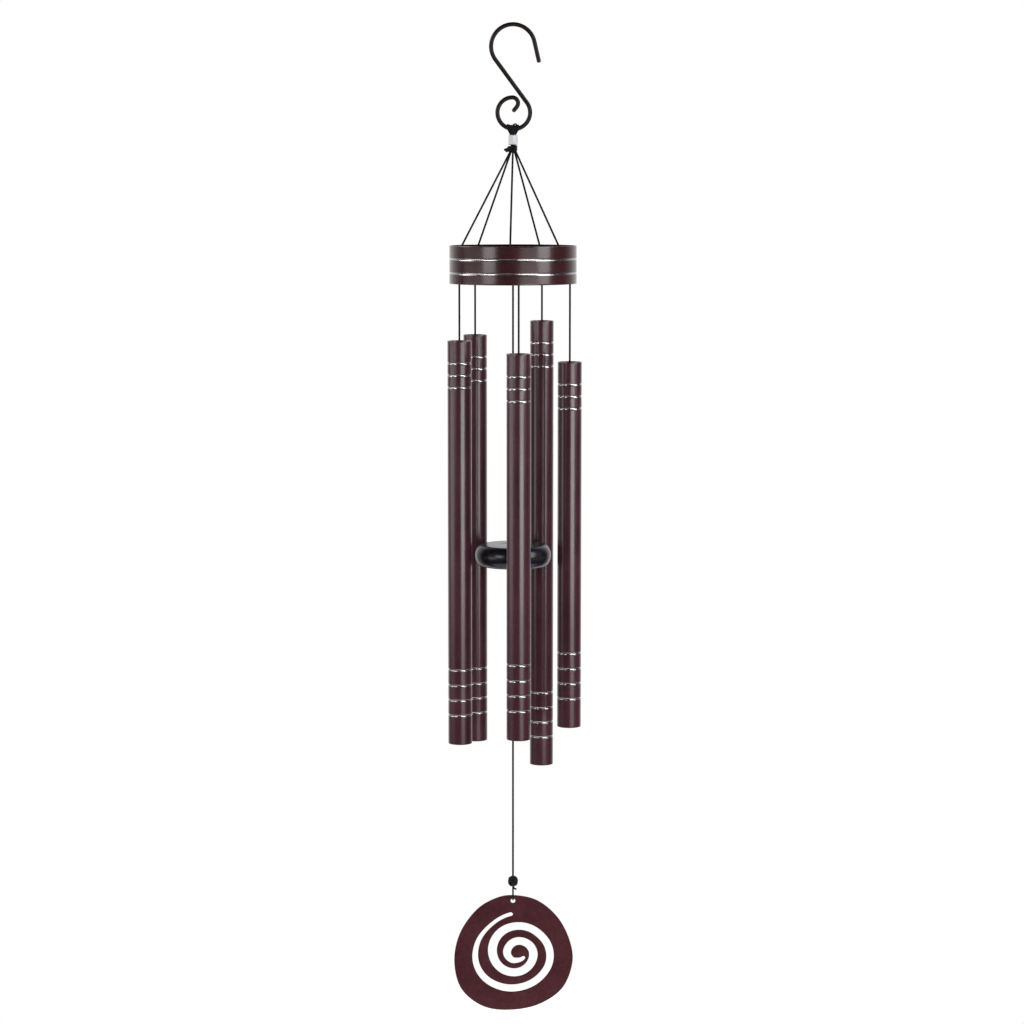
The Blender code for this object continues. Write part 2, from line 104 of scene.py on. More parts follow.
# In millimetres from the sail's middle: points round its edge, then rows of x, y and width along its slot
SAIL_OUTLINE = (
    (0, 63.3), (26, 57.7), (48, 39.4), (61.4, 13.8), (64.6, -12.2), (52.6, -41.2), (24.6, -59.4),
    (-10.1, -64.4), (-36.4, -58.4), (-57.1, -39.2), (-63.9, -9), (-57.6, 21.2), (-40, 46.7),
    (-19.7, 59.6),
)
SPIRAL = (
    (-2.3, 42.3, 4.4), (-24.0, 30.2, 4.2), (-38.2, 11.4, 5.2), (-40.4, -11.0, 6.6),
    (-31.2, -28.2, 7.6), (-11.8, -38.9, 8.2), (9.7, -38.7, 8.3), (28.6, -28.6, 8.1),
    (39.6, -11.0, 8.0), (38.6, 6.2, 8.3), (28.0, 20.7, 8.6), (6.9, 29.1, 8.8),
    (-14.4, 21.0, 9.4), (-22.4, 1.9, 9.6), (-14.0, -16.9, 9.5), (2.5, -22.6, 9.4),
    (18.9, -13.0, 9.2), (21.9, 0.4, 9.2), (12.6, 11.2, 9.0), (-2.2, 8.8, 8.8),
    (-6.4, -1.4, 8.4), (-1.0, -8.6, 7.2), (5.2, -9.0, 5.8), (11.2, -6.3, 4.2),
)
SPIRAL_MIDDLE = (6.6, 0.4)
MM_PER_M = 1000

# Cords and knots. A cord's fullness makes up for the depth of its braid.

CORD_STEP = 0.0004
CORD_RELIEF = 0.10
CORD_FULLNESS = 1.06
CORD_TUCK = 0.0006
PATH_SPANS = 24
KNOT_SIDES = 12
KNOT_CORE = 0.55
PLATE_KNOT_STRAND = 0.0008
FAN_KNOT_STRAND = 0.00085
STRIKER_KNOT_STRAND = 0.0010
TUBE_CORD_END = 0.0034
CENTRE_CORD_END_Z = -0.5716
PIN_HITCH_Z = 0.0044
PIN_HITCH_LENGTH = 0.0012
PIN_HITCH_RADIUS = 0.0013
SAIL_CORD_TOP_Z = -0.5750
SAIL_CORD_END_Z = -0.9112
SAIL_LOOP_FULLNESS = 1.35
BUNDLE_RING = 0.00175
LASHING_GAP = 0.00005
SLACK_RADIUS = 0.0008
GATHER_TURNS = 2.6
GATHER_STRAND = 0.0012
GATHER_WRAP_STRAND = 0.00105

# How far across the eye's wire each turn of the lashing lies, its place in the bundle, and its lift
LASHING_PLACES = (
    (-0.0056, -0.98, 0.0), (-0.0042, -0.80, 0.0002), (-0.0028, -0.56, 0.0),
    (-0.0014, -0.28, 0.0003), (0.0, 0.0, 0.0001), (0.0014, 0.28, 0.0003),
    (0.0028, 0.56, 0.0), (0.0042, 0.80, 0.0002), (0.0056, 0.98, 0.0),
)
# The radius of each tail of the gathering knot, and its route from the knot's middle
GATHER_TAILS = (
    (0.00125, (
        (-0.0022, -0.0024, 0.0010), (-0.0048, -0.0036, 0.0004),
        (-0.0070, -0.0036, -0.0006), (-0.0088, -0.0030, -0.0012),
    )),
    (0.00120, (
        (-0.0014, -0.0028, -0.0010), (-0.0036, -0.0040, -0.0016),
        (-0.0058, -0.0042, -0.0024), (-0.0074, -0.0038, -0.0026),
    )),
    (0.00095, (
        (0.0010, -0.0034, 0.0028), (0.0026, -0.0048, 0.0010),
        (0.0016, -0.0050, -0.0014), (-0.0008, -0.0042, -0.0032),
    )),
)

# Edges and surfaces

HOOK_STEP = 0.0008
HOOK_BEARING = 0.009
HOOK_WORN_END = 0.0012
BORE_RINGS = (0.0090, 0.0030, -0.0030, -0.0090)
RIM = 0.0003
RIM_BAND = 0.0013
BURR = 0.00006
BURR_BAND = 0.0008
SLEEVE_ROLL = 0.0004
STRIKER_RIM = 0.0006
SAIL_BEVEL = 0.00035
SHARP_DEG = 50
SAIL_SHARP_DEG = 32

# Camera, floor and light

CAMERA_PLACE = (-0.00106, -2.954, -0.17025)
CAMERA_TILT_DEG = 6.6
FLOOR_RADIUS = 0.9
FLOOR_SIDES = 48
FLOOR_Z = -1.30
LIGHT_DISTANCE = 2.2
# Name, azimuth in degrees, width, lower and upper edge, and radiance
LIGHTS = (
    ("high_left", -98, 1.30, 0.20, 1.50, 5.0),
    ("high_right", 60, 1.30, 0.20, 1.50, 3.5),
    ("upper_left", -43, 0.85, -0.36, 0.20, 4.3),
    ("upper_right", 57, 0.90, -0.36, 0.20, 4.6),
    ("lower_left", -75, 1.78, -0.90, -0.36, 1.35),
    ("middle_right", 29, 1.20, -0.48, -0.38, 2.6),
    ("lower_right", 29, 1.35, -0.90, -0.48, 4.8),
    ("foot_left", -75, 1.78, -1.25, -0.90, 0.15),
    ("foot_right", 29, 1.35, -1.25, -0.90, 1.0),
)


# Camera

camera_data = bpy.data.cameras.new("camera")
camera_data.lens = 97.84
camera_data.sensor_width = 36
camera = bpy.data.objects.new("camera", camera_data)
bpy.context.scene.collection.objects.link(camera)
camera.location = CAMERA_PLACE
camera.rotation_euler = (math.radians(90 - CAMERA_TILT_DEG), 0, 0)
bpy.context.scene.camera = camera


# Materials

def blank(name):
    """A new material, its node tree and its shader."""
    made = bpy.data.materials.new(name)
    made.use_nodes = True
    return made, made.node_tree, made.node_tree.nodes["Principled BSDF"]


def set_plain(shader, **values):
    """Set values that are the same all over on the shader's own sockets."""
    for key, value in values.items():
        shader.inputs[key.replace("_", " ")].default_value = value


def own_place(tree):
    """Coordinates on the piece itself, in metres, so that a pattern moves with it."""
    return tree.nodes.new("ShaderNodeTexCoord").outputs["Object"]


def stretched(tree, place, scale):
    """Scale the coordinates. A small number draws a pattern out along that axis."""
    node = tree.nodes.new("ShaderNodeMapping")
    node.inputs["Scale"].default_value = scale
    tree.links.new(place, node.inputs["Vector"])
    return node.outputs["Vector"]


def noise(tree, place, scale, detail=3.0, roughness=0.55):
    node = tree.nodes.new("ShaderNodeTexNoise")
    node.inputs["Scale"].default_value = scale
    node.inputs["Detail"].default_value = detail
    node.inputs["Roughness"].default_value = roughness
    tree.links.new(place, node.inputs["Vector"])
    return node.outputs["Fac"]


def feed(tree, socket, value):
    """A number goes on the socket, and an output is linked to it."""
    if isinstance(value, bpy.types.NodeSocket):
        tree.links.new(value, socket)
    else:
        socket.default_value = value


def calc(tree, operation, first, second=0.0, third=0.0, clamp=False):
    node = tree.nodes.new("ShaderNodeMath")
    node.operation = operation
    node.use_clamp = clamp
    for socket, value in zip(node.inputs, (first, second, third)):
        feed(tree, socket, value)
    return node.outputs[0]


def spread(tree, value, low, high, to_low, to_high):
    """Map a range of values to another, smoothly and clamped."""
    node = tree.nodes.new("ShaderNodeMapRange")
    node.interpolation_type = "SMOOTHSTEP"
    feed(tree, node.inputs["Value"], value)
    for key, number in zip(("From Min", "From Max", "To Min", "To Max"), (low, high, to_low, to_high)):
        node.inputs[key].default_value = number
    return node.outputs["Result"]


def ramp(tree, factor, *stops):
    node = tree.nodes.new("ShaderNodeValToRGB")
    feed(tree, node.inputs["Fac"], factor)
    elements = node.color_ramp.elements
    while len(elements) < len(stops):
        elements.new(0.5)
    for element, (position, colour) in zip(elements, stops):
        element.position = position
        element.color = (*colour, 1.0)
    return node.outputs["Color"]


def mixed(tree, factor, first, second):
    """Mix two colours. Each is an output or an (r, g, b)."""
    node = tree.nodes.new("ShaderNodeMix")
    node.data_type = "RGBA"
    feed(tree, node.inputs[0], factor)
    for socket, value in ((node.inputs[6], first), (node.inputs[7], second)):
        feed(tree, socket, value if isinstance(value, bpy.types.NodeSocket) else (*value, 1.0))
    return node.outputs[2]


def bumped(tree, height, strength, distance, under=None):
    node = tree.nodes.new("ShaderNodeBump")
    node.inputs["Strength"].default_value = strength
    node.inputs["Distance"].default_value = distance
    tree.links.new(height, node.inputs["Height"])
    if under is not None:
        tree.links.new(under, node.inputs["Normal"])
    return node.outputs["Normal"]


def worn(tree, place, scale, limit=0.85):
    """How far the finish is worn through, from the mesh's own wear and a broken pattern."""
    attribute = tree.nodes.new("ShaderNodeAttribute")
    attribute.attribute_name = "wear"
    chips = noise(tree, place, scale, 4.0, 0.7)
    total = calc(tree, "ADD", attribute.outputs["Fac"], calc(tree, "MULTIPLY", chips, 0.9))
    return spread(tree, total, limit + 0.45, limit + 0.62, 0.0, 1.0)


def coating(name, deep, warm, gloss, edge_limit, drawn, shine, coat, coat_roughness):
    """A thin coloured coat on aluminium, with the metal showing where an edge has worn.

    Deep and warm are its tones, gloss its least and most roughness, and drawn the strength of
    the drawn metal's lines.
    """
    made, tree, shader = blank(name)
    place = own_place(tree)
    clouds = noise(tree, place, 26, 4.0)
    mottle = noise(tree, place, 380, 4.0)
    lines = noise(tree, stretched(tree, place, (1, 1, 0.03)), 600, 3.0)
    specks = noise(tree, place, 2400, 2.0)
    fine = calc(tree, "MULTIPLY_ADD", lines, drawn, calc(tree, "MULTIPLY", mottle, 0.45 - drawn))
    tone = calc(tree, "MULTIPLY_ADD", clouds, 0.55, fine)
    colour = ramp(tree, tone, (0.38, deep), (0.64, warm))
    dusty = mixed(tree, spread(tree, specks, 0.66, 0.80, 0.0, 0.18), colour, (0.12, 0.08, 0.09))
    bare = worn(tree, place, 900, edge_limit)
    feed(tree, shader.inputs["Base Color"], mixed(tree, bare, dusty, (0.42, 0.40, 0.41)))
    feed(tree, shader.inputs["Metallic"], bare)
    smears = noise(tree, stretched(tree, place, (1, 1, 0.4)), 48, 4.0)
    feed(tree, shader.inputs["Roughness"], spread(tree, smears, 0.35, 0.68, *gloss))
    set_plain(shader, Coat_Weight=coat, Coat_Roughness=coat_roughness, Coat_IOR=1.5)
    set_plain(shader, Specular_IOR_Level=shine)
    peel = bumped(tree, mottle, 0.10, 0.0002)
    feed(tree, shader.inputs["Normal"], bumped(tree, lines, 0.12 * drawn, 0.0001, peel))
    return made


def bare_aluminium():
    """Aluminium turned bright in a lathe: fine lines round it, a little dulled in places."""
    made, tree, shader = blank("turned_aluminium")
    place = own_place(tree)
    rings = noise(tree, stretched(tree, place, (0.02, 0.02, 1)), 5200, 3.0, 0.7)
    dull = noise(tree, place, 140, 3.0)
    colour = ramp(tree, rings, (0.30, (0.46, 0.44, 0.45)), (0.70, (0.68, 0.66, 0.67)))
    stain = spread(tree, dull, 0.60, 0.76, 0.0, 0.35)
    feed(tree, shader.inputs["Base Color"], mixed(tree, stain, colour, (0.30, 0.27, 0.27)))
    feed(tree, shader.inputs["Roughness"], spread(tree, dull, 0.35, 0.70, 0.17, 0.26))
    set_plain(shader, Metallic=1.0)
    feed(tree, shader.inputs["Normal"], bumped(tree, rings, 0.22, 0.0001))
    return made


def hook_paint():
    """Dark brown satin paint on steel wire, rubbed bright where it bears."""
    made, tree, shader = blank("hook_paint")
    place = own_place(tree)
    clouds = noise(tree, place, 90, 4.0)
    grain = noise(tree, place, 1500, 3.0)
    colour = ramp(tree, clouds, (0.35, (0.005, 0.002, 0.002)), (0.68, (0.022, 0.009, 0.007)))
    bare = worn(tree, place, 1100, 0.80)
    feed(tree, shader.inputs["Base Color"], mixed(tree, bare, colour, (0.30, 0.27, 0.26)))
    feed(tree, shader.inputs["Metallic"], bare)
    feed(tree, shader.inputs["Roughness"], spread(tree, grain, 0.3, 0.7, 0.34, 0.50))
    set_plain(shader, Specular_IOR_Level=0.30)
    feed(tree, shader.inputs["Normal"], bumped(tree, grain, 0.25, 0.0001))
    return made


def braided_cord():
    """Black braided nylon. The braid follows the strand's own map: u round it, v along it."""
    made, tree, shader = blank("black_braid")
    place = own_place(tree)
    uv = tree.nodes.new("ShaderNodeUVMap")
    uv.uv_map = "strand"
    parts = tree.nodes.new("ShaderNodeSeparateXYZ")
    tree.links.new(uv.outputs["UV"], parts.inputs[0])
    waves = []
    for turn in (1.0, -1.0):
        slant = calc(tree, "MULTIPLY", parts.outputs[1], 2 * turn)
        phase = calc(tree, "MULTIPLY_ADD", parts.outputs[0], 4.0, slant)
        waves.append(calc(tree, "COSINE", calc(tree, "MULTIPLY", phase, 2 * math.pi)))
    weave = calc(tree, "MULTIPLY_ADD", calc(tree, "MULTIPLY", waves[0], waves[1]), 0.5, 0.5)
    fuzz = noise(tree, place, 5200, 3.0, 0.7)
    faded = noise(tree, place, 60, 3.0)
    tone = calc(tree, "MULTIPLY_ADD", fuzz, 0.45, calc(tree, "MULTIPLY", weave, 0.55))
    colour = ramp(tree, tone, (0.25, (0.0015, 0.0015, 0.0020)), (0.80, (0.0095, 0.0088, 0.0100)))
    grey = spread(tree, faded, 0.55, 0.75, 0.0, 0.35)
    feed(tree, shader.inputs["Base Color"], mixed(tree, grey, colour, (0.015, 0.0145, 0.0155)))
    feed(tree, shader.inputs["Roughness"], spread(tree, fuzz, 0.3, 0.7, 0.62, 0.85))
    set_plain(shader, Sheen_Weight=0.04, Sheen_Roughness=0.5, Specular_IOR_Level=0.25)
    weave_bump = bumped(tree, weave, 0.45, 0.00015)
    feed(tree, shader.inputs["Normal"], bumped(tree, fuzz, 0.25, 0.00005, weave_bump))
    return made


def sleeve_plastic():
    """Off-white shrunk plastic, creased and slightly soiled at its ends."""
    made, tree, shader = blank("white_sleeve")
    place = own_place(tree)
    clouds = noise(tree, place, 320, 4.0)
    creases = noise(tree, stretched(tree, place, (1, 1, 0.35)), 900, 3.0)
    colour = ramp(tree, clouds, (0.35, (0.80, 0.77, 0.84)), (0.65, (0.90, 0.88, 0.93)))
    soiled = worn(tree, place, 700, 0.62)
    soil = calc(tree, "MULTIPLY", soiled, 0.55)
    feed(tree, shader.inputs["Base Color"], mixed(tree, soil, colour, (0.20, 0.19, 0.20)))
    feed(tree, shader.inputs["Roughness"], spread(tree, creases, 0.3, 0.7, 0.38, 0.58))
    feed(tree, shader.inputs["Normal"], bumped(tree, creases, 0.05, 0.0003))
    return made


def lacquer():
    """Black gloss lacquer on a turned board, its grain just telegraphing through."""
    made, tree, shader = blank("black_lacquer")
    place = own_place(tree)
    grain = noise(tree, stretched(tree, place, (0.06, 1, 1)), 420, 5.0, 0.65)
    clouds = noise(tree, place, 45, 3.0)
    scratches = noise(tree, stretched(tree, place, (1, 0.05, 1)), 2600, 2.0)
    tone = calc(tree, "MULTIPLY_ADD", grain, 0.5, calc(tree, "MULTIPLY", clouds, 0.5))
    colour = ramp(tree, tone, (0.35, (0.004, 0.004, 0.009)), (0.68, (0.014, 0.012, 0.024)))
    bare = worn(tree, place, 500, 0.80)
    scuffed = calc(tree, "MULTIPLY", bare, 0.5)
    feed(tree, shader.inputs["Base Color"], mixed(tree, scuffed, colour, (0.050, 0.038, 0.034)))
    feed(tree, shader.inputs["Roughness"], spread(tree, scratches, 0.40, 0.75, 0.26, 0.38))
    set_plain(shader, Coat_Weight=0.4, Coat_Roughness=0.20, Coat_IOR=1.5, Specular_IOR_Level=0.25)
    feed(tree, shader.inputs["Normal"], bumped(tree, grain, 0.03, 0.0002))
    return made


def dark_board():
    """Board stained dark brown: open grain, a slightly furred surface."""
    made, tree, shader = blank("stained_board")
    place = own_place(tree)
    grain = noise(tree, stretched(tree, place, (0.05, 1, 1)), 520, 5.0, 0.7)
    clouds = noise(tree, place, 38, 4.0)
    fibre = noise(tree, place, 3000, 2.0)
    tone = calc(tree, "MULTIPLY_ADD", grain, 0.6, calc(tree, "MULTIPLY", clouds, 0.4))
    colour = ramp(tree, tone, (0.34, (0.018, 0.008, 0.009)), (0.68, (0.070, 0.034, 0.031)))
    dust = spread(tree, fibre, 0.62, 0.80, 0.0, 0.35)
    feed(tree, shader.inputs["Base Color"], mixed(tree, dust, colour, (0.12, 0.09, 0.08)))
    feed(tree, shader.inputs["Roughness"], spread(tree, grain, 0.3, 0.7, 0.48, 0.75))
    grain_bump = bumped(tree, grain, 0.30, 0.0003)
    feed(tree, shader.inputs["Normal"], bumped(tree, fibre, 0.15, 0.0001, grain_bump))
    return made


def pin_steel():
    """Drawn steel rod with lines along X and a few dull spots."""
    made, tree, shader = blank("drawn_steel")
    place = own_place(tree)
    lines = noise(tree, stretched(tree, place, (0.03, 1, 1)), 4200, 3.0)
    spots = noise(tree, place, 800, 3.0)
    colour = ramp(tree, lines, (0.3, (0.36, 0.35, 0.35)), (0.7, (0.60, 0.59, 0.58)))
    spotted = spread(tree, spots, 0.60, 0.72, 0.0, 0.6)
    feed(tree, shader.inputs["Base Color"], mixed(tree, spotted, colour, (0.16, 0.12, 0.10)))
    feed(tree, shader.inputs["Roughness"], spread(tree, spots, 0.35, 0.70, 0.26, 0.50))
    set_plain(shader, Metallic=1.0)
    feed(tree, shader.inputs["Normal"], bumped(tree, lines, 0.15, 0.0001))
    return made


TUBE_COAT = coating(
    "mahogany_tube", (0.050, 0.0110, 0.0200), (0.084, 0.0225, 0.0365), (0.30, 0.40),
    edge_limit=1.02, drawn=0.15, shine=0.30, coat=1.0, coat_roughness=0.21,
)
# The hoop has the same coat as the tubes, but this copy is darker: painted shade that holds the hoop down
# under the strong upper lights.
PAINTED_SHADE_HOOP_COAT = coating(
    "mahogany_hoop_painted_shade", (0.034, 0.0062, 0.0095), (0.064, 0.0140, 0.0190), (0.34, 0.44),
    edge_limit=1.02, drawn=0.0, shine=0.15, coat=1.0, coat_roughness=0.20,
)
# A near-black coat without gloss for the inside of the hoop: painted shade for the hollow within the hoop.
PAINTED_SHADE_INSIDE_COAT = coating(
    "mahogany_inside_painted_shade", (0.008, 0.0020, 0.0028), (0.018, 0.0050, 0.0065), (0.50, 0.62),
    edge_limit=1.10, drawn=0.0, shine=0.10, coat=0.0, coat_roughness=0.30,
)
SAIL_COAT = coating(
    "mahogany_sail", (0.050, 0.0100, 0.0140), (0.082, 0.0205, 0.0245), (0.46, 0.62),
    edge_limit=1.12, drawn=0.0, shine=0.12, coat=0.0, coat_roughness=0.30,
)
BARE = bare_aluminium()
HOOK_PAINT = hook_paint()
BRAID = braided_cord()
SLEEVE = sleeve_plastic()
LACQUER = lacquer()
BOARD = dark_board()
STEEL = pin_steel()


# Making meshes

def middle_of(node):
    """The middle of a node's box, and half of the box's height."""
    low, high = (Vector(corner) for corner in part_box(node))
    return (low + high) / 2, (high.z - low.z) / 2


def finish_piece(piece, body, surface_slot, *nodes):
    """Put a piece in the scene, on its body and in place of its CAD nodes."""
    if piece.name not in bpy.context.scene.collection.objects:
        bpy.context.scene.collection.objects.link(piece)
    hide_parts(*nodes)
    if body is not None:
        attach(piece, body)
    return piece


def set_wear(mesh, values):
    """How worn each vertex is, for the materials to read."""
    mesh.attributes.new("wear", "FLOAT", "POINT").data.foreach_set("value", values)


def resampled(points, step):
    """Points a step apart along a route, its two ends kept."""
    points = [Vector(p) for p in points]
    travel = [0.0]
    for a, b in zip(points, points[1:]):
        travel.append(travel[-1] + (b - a).length)
    count = max(2, round(travel[-1] / step))
    result, span = [], 0
    for i in range(count + 1):
        at = travel[-1] * i / count
        while span < len(points) - 2 and travel[span + 1] < at:
            span += 1
        share = (at - travel[span]) / max(travel[span + 1] - travel[span], 1e-9)
        result.append(points[span].lerp(points[span + 1], share))
    return result


def relaxed(points, rounds):
    """Round a route's corners. Its two ends stay."""
    for _ in range(rounds):
        middle = [(a + 2 * b + c) / 4 for a, b, c in zip(points, points[1:], points[2:])]
        points = [points[0], *middle, points[-1]]
    return points


def smooth_route(points, closed, steps):
    """A Catmull-Rom curve through the points, with this many steps between each two."""
    count = len(points)
    spans = count if closed else count - 1
    route = []
    for i in range(spans):
        near = range(i - 1, i + 3)
        if not closed:
            near = [min(max(k, 0), count - 1) for k in near]
        a, b, c, d = [Vector(points[k % count]) for k in near]
        for s in range(steps):
            t = s / steps
            route.append(0.5 * (
                2 * b + (c - a) * t + (2 * a - 5 * b + 4 * c - d) * t**2
                + (3 * b - a - 3 * c + d) * t**3
            ))
    if not closed:
        route.append(Vector(points[-1]))
    return route


def spiral_route(rows, middle, steps):
    """A smooth route through (x, y, width) rows that turns evenly round its middle."""
    polar, angle = [], -math.inf
    for x, y, width in rows:
        arm = Vector((x, y)) - Vector(middle)
        turned_to = math.atan2(arm.y, arm.x)
        while turned_to < angle:
            turned_to += 2 * math.pi
        angle = turned_to
        polar.append((angle, arm.length, width))
    route = []
    for angle, reach, width in smooth_route(polar, False, steps):
        x, y = middle[0] + reach * math.cos(angle), middle[1] + reach * math.sin(angle)
        route.append(Vector((x, y, width)))
    return route


def route_frames(points, closed):
    """A side and an up direction at each point, turned as little as possible on the way."""
    count = len(points)
    tangents = []
    for i in range(count):
        if closed:
            ahead, behind = points[(i + 1) % count], points[i - 1]
        else:
            ahead, behind = points[min(i + 1, count - 1)], points[max(i - 1, 0)]
        tangents.append((ahead - behind).normalized())
    side = tangents[0].orthogonal().normalized()
    sides = []
    for tangent in tangents:
        side = (side - tangent * side.dot(tangent)).normalized()
        sides.append(side)
    if closed:
        end = (side - tangents[0] * side.dot(tangents[0])).normalized()
        slip = math.atan2(end.cross(sides[0]).dot(tangents[0]), end.dot(sides[0]))
        turned_sides = []
        for i, (tangent, direction) in enumerate(zip(tangents, sides)):
            turned_sides.append(Matrix.Rotation(slip * i / count, 3, tangent) @ direction)
        sides = turned_sides
    return [(side, tangent.cross(side), tangent) for side, tangent in zip(sides, tangents)]


class StrandMesh:
    """A mesh built from round strands, each with its own map for the braid."""

    def __init__(self, sides, relief):
        self.sides, self.relief = sides, relief
        self.vertices, self.faces, self.maps, self.wear = [], [], [], []

    def add(self, points, radius, closed=False, blunt=0.55, wear=None):
        """Add a strand along the points. Its ends are rounded, by blunt radii, unless it is closed."""
        sides, first = self.sides, len(self.vertices)
        frames = route_frames(points, closed)
        rows = list(zip(points, frames, [1.0] * len(points)))
        if not closed:
            ends = ((0.30, 1.0), (0.68, 0.72), (0.92, 0.38))
            head, tail = frames[0], frames[-1]
            reach = radius * blunt
            start_cap = [(points[0] - head[2] * reach * out, head, size) for size, out in ends]
            end_cap = [(points[-1] + tail[2] * reach * out, tail, size) for size, out in ends[::-1]]
            rows = start_cap + rows + end_cap
        travel, last, coordinates = 0.0, None, []
        for place, (side, up, _), size in rows:
            if last is not None:
                travel += (place - last).length
            last = place
            along = 2 * travel / radius
            for k in range(sides):
                angle = 2 * math.pi * k / sides
                weave = math.cos(4 * angle + along) * math.cos(4 * angle - along)
                out = radius * size * (1 - self.relief * (0.5 - 0.5 * weave))
                self.vertices.append(place + out * (math.cos(angle) * side + math.sin(angle) * up))
                self.wear.append(wear(place) if wear else 0.0)
            coordinates.append(travel / (2 * math.pi * radius))
        count = len(rows)
        for i in range(count if closed else count - 1):
            ring, after = first + i * sides, first + (i + 1) % count * sides
            low = coordinates[i]
            high = coordinates[i + 1] if i + 1 < count else low + coordinates[1]
            for k in range(sides):
                beside = (k + 1) % sides
                self.faces.append((ring + k, ring + beside, after + beside, after + k))
                left, right = k / sides, (k + 1) / sides
                self.maps.append(((left, low), (right, low), (right, high), (left, high)))
        if not closed:
            for ring, step in ((first, -1), (first + (count - 1) * sides, 1)):
                order = range(sides)[::step]
                self.faces.append(tuple(ring + k for k in order))
                self.maps.append(tuple((k / sides, 0.0) for k in order))
        return self

    def make(self, name, surface):
        mesh = bpy.data.meshes.new(name)
        mesh.from_pydata(self.vertices, [], self.faces)
        layer = mesh.uv_layers.new(name="strand")
        flat = [number for face in self.maps for pair in face for number in pair]
        layer.data.foreach_set("uv", flat)
        set_wear(mesh, self.wear)
        mesh.materials.append(surface)
        mesh.shade_smooth()
        return bpy.data.objects.new(name, mesh)


def turned(name, rows, segments, surfaces, place=(0, 0, 0), uneven=None):
    """Turn a closed wall round Z. A row is a radius, a height, the surface below it and its wear."""
    vertices, faces, wear, marks = [], [], [], []
    count = len(rows)
    for radius, height, _, amount in rows:
        for k in range(segments):
            angle = 2 * math.pi * k / segments
            grow = uneven(angle, height) if uneven else 1.0
            vertices.append((
                place[0] + grow * radius * math.cos(angle),
                place[1] + grow * radius * math.sin(angle),
                place[2] + height,
            ))
            wear.append(amount)
    for i, row in enumerate(rows):
        below = (i + 1) % count
        for k in range(segments):
            after = (k + 1) % segments
            faces.append((
                i * segments + k, below * segments + k, below * segments + after, i * segments + after,
            ))
            marks.append(row[2])
    mesh = bpy.data.meshes.new(name)
    mesh.from_pydata(vertices, [], faces)
    set_wear(mesh, wear)
    for surface in surfaces:
        mesh.materials.append(surface)
    mesh.polygons.foreach_set("material_index", marks)
    mesh.shade_smooth()
    mesh.set_sharp_from_angle(angle=math.radians(SHARP_DEG))
    return bpy.data.objects.new(name, mesh)


def grooved_wall(outer, inner, top, bottom, grooves, shoulder=(), rings=()):
    """Rows of a grooved wall with broken edges: down the outer side, then up the inner side.

    Shoulder holds more rows for the inner side, and rings are heights with a row on both sides.
    """
    rows = [
        (inner + RIM, top, 0, 0.7), (outer - RIM, top, 0, 0.9),
        (outer - RIM * 0.3, top - RIM * 0.3, 0, 1.0), (outer, top - RIM, 0, 0.8),
        (outer, top - RIM_BAND, 0, 0.0),
    ]
    floor = outer - GROOVE_DEPTH
    for centre in grooves:
        upper, lower = centre + GROOVE_WIDTH / 2, centre - GROOVE_WIDTH / 2
        rows += [
            (outer, upper + BURR_BAND, 0, 0.0), (outer, upper + BURR, 1, 0.8),
            (outer - BURR, upper, 1, 0.0), (floor + BURR, upper - BURR, 1, 0.0),
            (floor, upper - 3 * BURR, 1, 0.0), (floor - BURR / 2, centre, 1, 0.0),
            (floor, lower + 3 * BURR, 1, 0.0), (floor + BURR, lower + BURR, 1, 0.0),
            (outer - BURR, lower, 1, 0.0), (outer, lower - BURR, 0, 0.8),
            (outer, lower - BURR_BAND, 0, 0.0),
        ]
    rows += [
        (outer, bottom + RIM_BAND, 0, 0.0), (outer, bottom + RIM, 0, 0.8),
        (outer - RIM * 0.3, bottom + RIM * 0.3, 0, 1.0), (outer - RIM, bottom, 0, 0.9),
        (inner + RIM, bottom, 0, 0.7), (inner, bottom + RIM, 0, 0.2),
        (inner, bottom + RIM_BAND, 0, 0.0),
    ]
    for height in rings:
        below = next(i for i, row in enumerate(rows) if row[1] < height)
        rows.insert(below, (outer, height, 0, 0.0))
    rows += shoulder
    rows += [(inner, height, 0, 0.0) for height in rings[::-1]]
    rows += [(inner, top - RIM_BAND, 0, 0.0), (inner, top - RIM, 0, 0.3)]
    return rows


# Routes

def arc(centre, radius, start_deg, end_deg, step_deg):
    """Points along an arc in the XZ plane, about a step apart."""
    count = max(2, round(abs(end_deg - start_deg) / step_deg))
    angles = [math.radians(start_deg + (end_deg - start_deg) * i / count) for i in range(count + 1)]
    return [centre + radius * Vector((math.cos(a), 0, math.sin(a))) for a in angles]


def heading(angle_deg):
    """The direction at this angle from +X toward +Z."""
    return Vector((math.cos(math.radians(angle_deg)), 0, math.sin(math.radians(angle_deg))))


def hook_route():
    """Tip, bend, shank, eye, and the curl that closes the eye."""
    between = EYE_CENTRE - BEND_CENTRE
    lean = math.asin((BEND_RADIUS + EYE_RADIUS) / between.length)
    shank_deg = math.degrees(math.atan2(between.z, between.x) + lean)
    bend = arc(BEND_CENTRE, BEND_RADIUS, BEND_START_DEG, shank_deg - 90 + 360, 3)
    tip = bend[0] - TIP_LENGTH * heading(BEND_START_DEG + 90)
    eye = arc(EYE_CENTRE, EYE_RADIUS, shank_deg + 90, -180, 4)
    upper_centre = EYE_CENTRE + Vector((EYE_UPPER_RADIUS - EYE_RADIUS, 0, 0))
    upper = arc(upper_centre, EYE_UPPER_RADIUS, 180, 90, 4)
    curl_centre = upper_centre + Vector((0, 0, EYE_UPPER_RADIUS - CURL_RADIUS))
    curl = arc(curl_centre, CURL_RADIUS, 90, 90 - CURL_TURN_DEG, 8)
    end = curl[-1] + CURL_END * heading(-CURL_TURN_DEG)
    return relaxed(resampled([tip, *bend, *eye, *upper[1:], *curl[1:], end], HOOK_STEP), 3)


def oval(centre, half_width, half_height, steps):
    """The closed route of a loop in the YZ plane."""
    angles = [2 * math.pi * step / steps for step in range(steps)]
    return [centre + Vector((0, half_width * math.cos(a), half_height * math.sin(a))) for a in angles]


